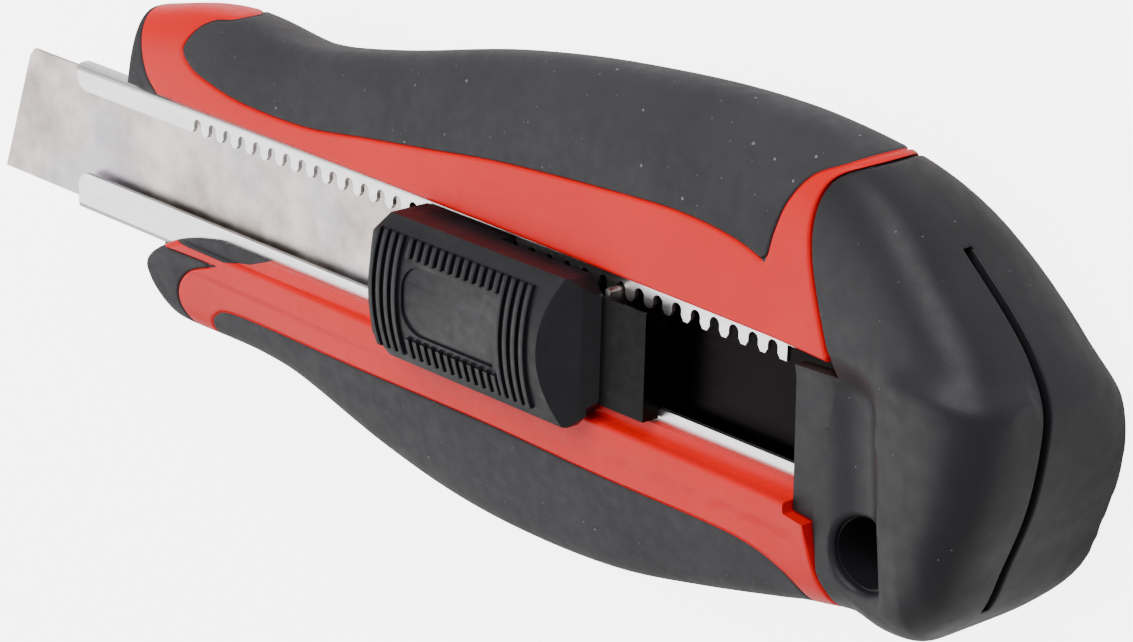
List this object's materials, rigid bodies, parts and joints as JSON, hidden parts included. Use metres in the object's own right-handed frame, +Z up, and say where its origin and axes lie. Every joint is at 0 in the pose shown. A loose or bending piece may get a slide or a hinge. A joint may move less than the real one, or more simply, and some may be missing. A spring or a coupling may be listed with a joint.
{
  "type": "snap-off knife",
  "caption": "Snap-off utility knife with a steel blade channel, ribbed thumb slider, soft-grip curved handle and removable end cap.",
  "frame": {"origin": "on the flat back of the handle, on the blade's centre line, 95 mm behind the mouth of the blade channel, at the widest part of the grip", "axes": "+X towards the end cap, so the tip points to -X; +Y towards the spine, the blunt side of the blade; +Z up through the thumb slider, away from the surface that the knife lies on"},
  "size_m": [0.1838, 0.0634, 0.0294],
  "materials": {
    "handle_plastic": "satin",
    "grip_rubber": "matte",
    "cap_rubber": "satin",
    "slider_plastic": "satin",
    "frame_plastic": "matte",
    "channel_steel": "brushed",
    "blade_steel": "satin",
    "spring_steel": "satin"
  },
  "bodies": {
    "handle": {"handle_core": "handle_plastic", "spine_grip": "grip_rubber", "belly_grip": "grip_rubber", "spine_nose_pad": "grip_rubber", "belly_nose_pad": "grip_rubber", "nose_inlay": "grip_rubber", "blade_channel": "channel_steel", "magazine_spring": "spring_steel", "spare_blade_1": "blade_steel", "spare_blade_2": "blade_steel", "spare_blade_3": "blade_steel"},
    "slider": {"thumb_slider": "slider_plastic", "blade_carrier": "slider_plastic", "blade": "blade_steel"},
    "detent": {"detent_spring": "spring_steel"},
    "cap": {"end_cap": "cap_rubber", "cap_frame": "frame_plastic"}
  },
  "joints": [
    {"name": "slider_slide", "type": "slide", "parent": "handle", "child": "slider", "axis": [1, 0, 0], "range_m": [-0.05151, 0.02121]},
    {"name": "detent_flex", "type": "hinge", "parent": "slider", "child": "detent", "pos_m": [-0.007, 0.0053, 0.0216], "axis": [0, 0, -1], "range_deg": [0, 7.5], "stiffness_Nm_per_rad": 0.3},
    {"name": "cap_pull", "type": "slide", "parent": "handle", "child": "cap", "axis": [1, 0, 0], "range_m": [0, 0.03]}
  ]
}
